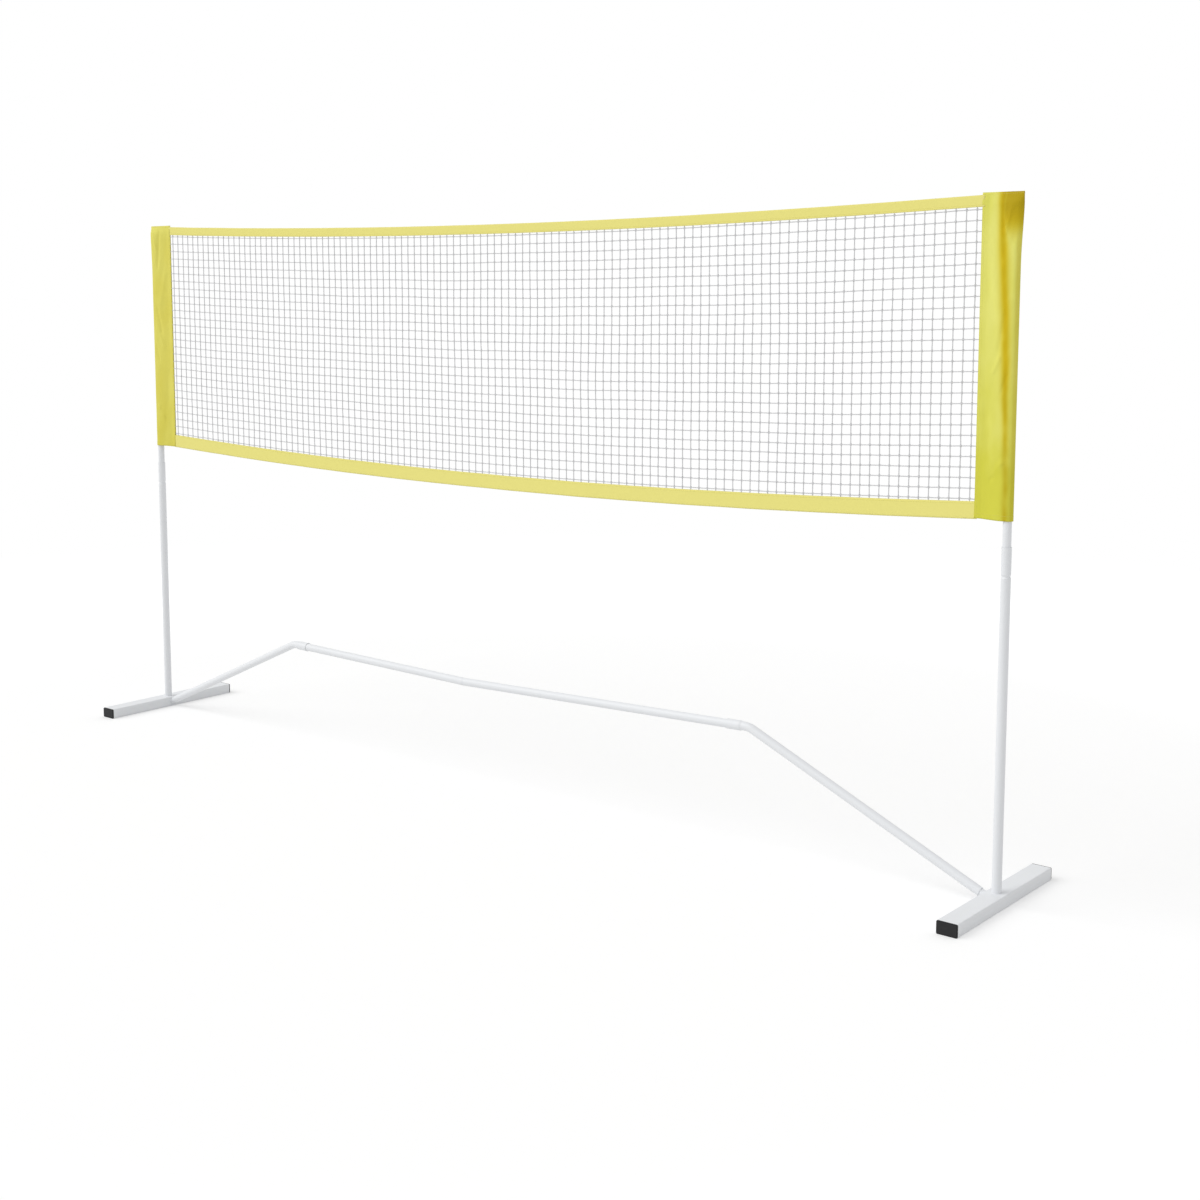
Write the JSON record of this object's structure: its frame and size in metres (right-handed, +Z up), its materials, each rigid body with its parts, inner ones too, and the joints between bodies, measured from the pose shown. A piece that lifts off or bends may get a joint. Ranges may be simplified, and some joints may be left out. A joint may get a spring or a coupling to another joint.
{
  "type": "free-standing sports net on poles",
  "caption": "Free-standing net on two push-fit tube posts with flat feet, a raised bent crossbar and fabric pocket ends.",
  "frame": {"origin": "on the floor, midway between the two posts", "axes": "+X along the net, +Y across it to the back, +Z up"},
  "size_m": [3, 0.468, 1.556],
  "materials": {
    "white_coat": "satin powder coat on steel tube",
    "black_plastic": "moulded polyethylene, matt",
    "yellow_fabric": "woven polyester tape and sleeve cloth",
    "net_cord": "thin braided polyester cord"
  },
  "bodies": {
    "base": {"foot_left": "white_coat", "foot_right": "white_coat", "foot_plug_left_front": "black_plastic", "foot_plug_left_back": "black_plastic", "foot_plug_right_front": "black_plastic", "foot_plug_right_back": "black_plastic", "post_spigot_left": "white_coat", "post_spigot_right": "white_coat", "crossbar_stub_left": "white_coat", "crossbar_stub_right": "white_coat", "slope_tube_left": "white_coat", "slope_tube_right": "white_coat", "crossbar_left": "white_coat", "crossbar_right": "white_coat", "crossbar_joiner": "white_coat"},
    "lower_post_left": {"lower_post_left": "white_coat"},
    "lower_post_right": {"lower_post_right": "white_coat"},
    "upper_post_left": {"upper_post_left": "white_coat", "post_cap_left": "black_plastic"},
    "upper_post_right": {"upper_post_right": "white_coat", "post_cap_right": "black_plastic"},
    "net": {"net_mesh": "net_cord", "top_tape": "yellow_fabric", "bottom_tape": "yellow_fabric", "sleeve_left": "yellow_fabric", "sleeve_right": "yellow_fabric"}
  },
  "joints": [
    {"name": "lower_post_left_lift", "type": "slide", "parent": "base", "child": "lower_post_left", "axis": [0, 0, 1], "range_m": [0, 0.08]},
    {"name": "lower_post_right_lift", "type": "slide", "parent": "base", "child": "lower_post_right", "axis": [0, 0, 1], "range_m": [0, 0.08]},
    {"name": "upper_post_left_lift", "type": "slide", "parent": "lower_post_left", "child": "upper_post_left", "axis": [0, 0, 1], "range_m": [0, 0.07]},
    {"name": "upper_post_right_lift", "type": "slide", "parent": "lower_post_right", "child": "upper_post_right", "axis": [0, 0, 1], "range_m": [0, 0.07]},
    {"name": "net_lift", "type": "slide", "parent": "upper_post_left", "child": "net", "axis": [0, 0, 1], "range_m": [0, 0.71]}
  ],
  "couplings": [
    {"joint": "lower_post_right_lift", "follows": "lower_post_left_lift", "ratio": 1},
    {"joint": "upper_post_right_lift", "follows": "upper_post_left_lift", "ratio": 1}
  ]
}
